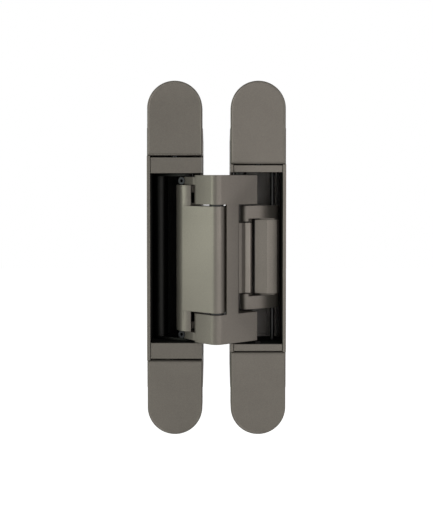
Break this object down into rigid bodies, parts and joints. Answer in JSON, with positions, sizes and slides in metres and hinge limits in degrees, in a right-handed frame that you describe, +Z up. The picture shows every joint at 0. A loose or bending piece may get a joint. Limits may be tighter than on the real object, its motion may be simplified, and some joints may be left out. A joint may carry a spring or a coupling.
{
  "type": "concealed door hinge",
  "caption": "Concealed hinge with two round-ended mortise housings joined by crossed arms and swing links, shown fully open.",
  "frame": {"origin": "middle of the frame housing's fixing holes, on the back of its end plates", "axes": "+Z up along the hinge, +Y into the frame mortise, +X from the frame housing to the door housing"},
  "size_m": [0.0785, 0.047, 0.2],
  "materials": {
    "housing_paint": "satin metallic grey paint",
    "cap_paint": "satin metallic grey paint",
    "carrier_paint": "satin metallic grey paint",
    "inner_arm_paint": "satin metallic grey paint, slightly greener",
    "yoke_paint": "satin metallic grey paint",
    "link_paint": "satin metallic grey paint",
    "dark_link_paint": "satin black paint",
    "block_paint": "satin metallic grey paint",
    "screw_steel": "dark oiled steel",
    "pin_steel": "ground steel",
    "washer_steel": "dark steel",
    "bush_plastic": "black acetal"
  },
  "bodies": {
    "frame": {"frame_housing": "housing_paint", "frame_upper_cap": "cap_paint", "frame_lower_cap": "cap_paint", "frame_carrier_screws": "screw_steel", "frame_carrier": "carrier_paint", "inner_arm_pin": "pin_steel", "frame_foot_pin": "pin_steel"},
    "inner_arm": {"inner_arm": "inner_arm_paint", "inner_arm_bushes": "bush_plastic"},
    "yoke": {"yoke_arm": "yoke_paint", "centre_pin": "pin_steel", "centre_washers": "bush_plastic", "yoke_bushes": "bush_plastic", "yoke_lug_pins": "pin_steel", "lug_lock_screws": "screw_steel"},
    "frame_link": {"frame_link": "dark_link_paint"},
    "door_link": {"door_link": "link_paint", "door_link_block": "block_paint", "door_link_pin": "pin_steel"},
    "door": {"door_housing": "housing_paint", "door_upper_cap": "cap_paint", "door_lower_cap": "cap_paint", "door_carrier_screws": "screw_steel", "door_carrier": "carrier_paint", "yoke_pivot_pins": "pin_steel", "door_foot_pin": "pin_steel", "yoke_thrust_washers": "washer_steel"}
  },
  "joints": [
    {"name": "inner_arm_swing", "type": "hinge", "parent": "frame", "child": "inner_arm", "pos_m": [0.00995, -0.0004, 0], "axis": [0, 0, -1], "range_deg": [0, 85.5]},
    {"name": "yoke_cross", "type": "hinge", "parent": "inner_arm", "child": "yoke", "pos_m": [0.0235, -0.01885, 0], "axis": [0, 0, -1], "range_deg": [0, 9]},
    {"name": "door_swing", "type": "hinge", "parent": "yoke", "child": "door", "pos_m": [0.03705, -0.0004, 0], "axis": [0, 0, -1], "range_deg": [0, 85.5]},
    {"name": "frame_link_swing", "type": "hinge", "parent": "yoke", "child": "frame_link", "pos_m": [0.0065, -0.004, 0], "axis": [0, 0, 1], "range_deg": [0, 113.94]},
    {"name": "door_link_swing", "type": "hinge", "parent": "inner_arm", "child": "door_link", "pos_m": [0.0405, -0.004, 0], "axis": [0, 0, -1], "range_deg": [0, 113.94]}
  ],
  "couplings": [
    {"joint": "yoke_cross", "follows": "inner_arm_swing", "ratio": 0.10526},
    {"joint": "door_swing", "follows": "inner_arm_swing", "ratio": 1},
    {"joint": "frame_link_swing", "follows": "inner_arm_swing", "ratio": 1.3326},
    {"joint": "door_link_swing", "follows": "inner_arm_swing", "ratio": 1.3326}
  ]
}
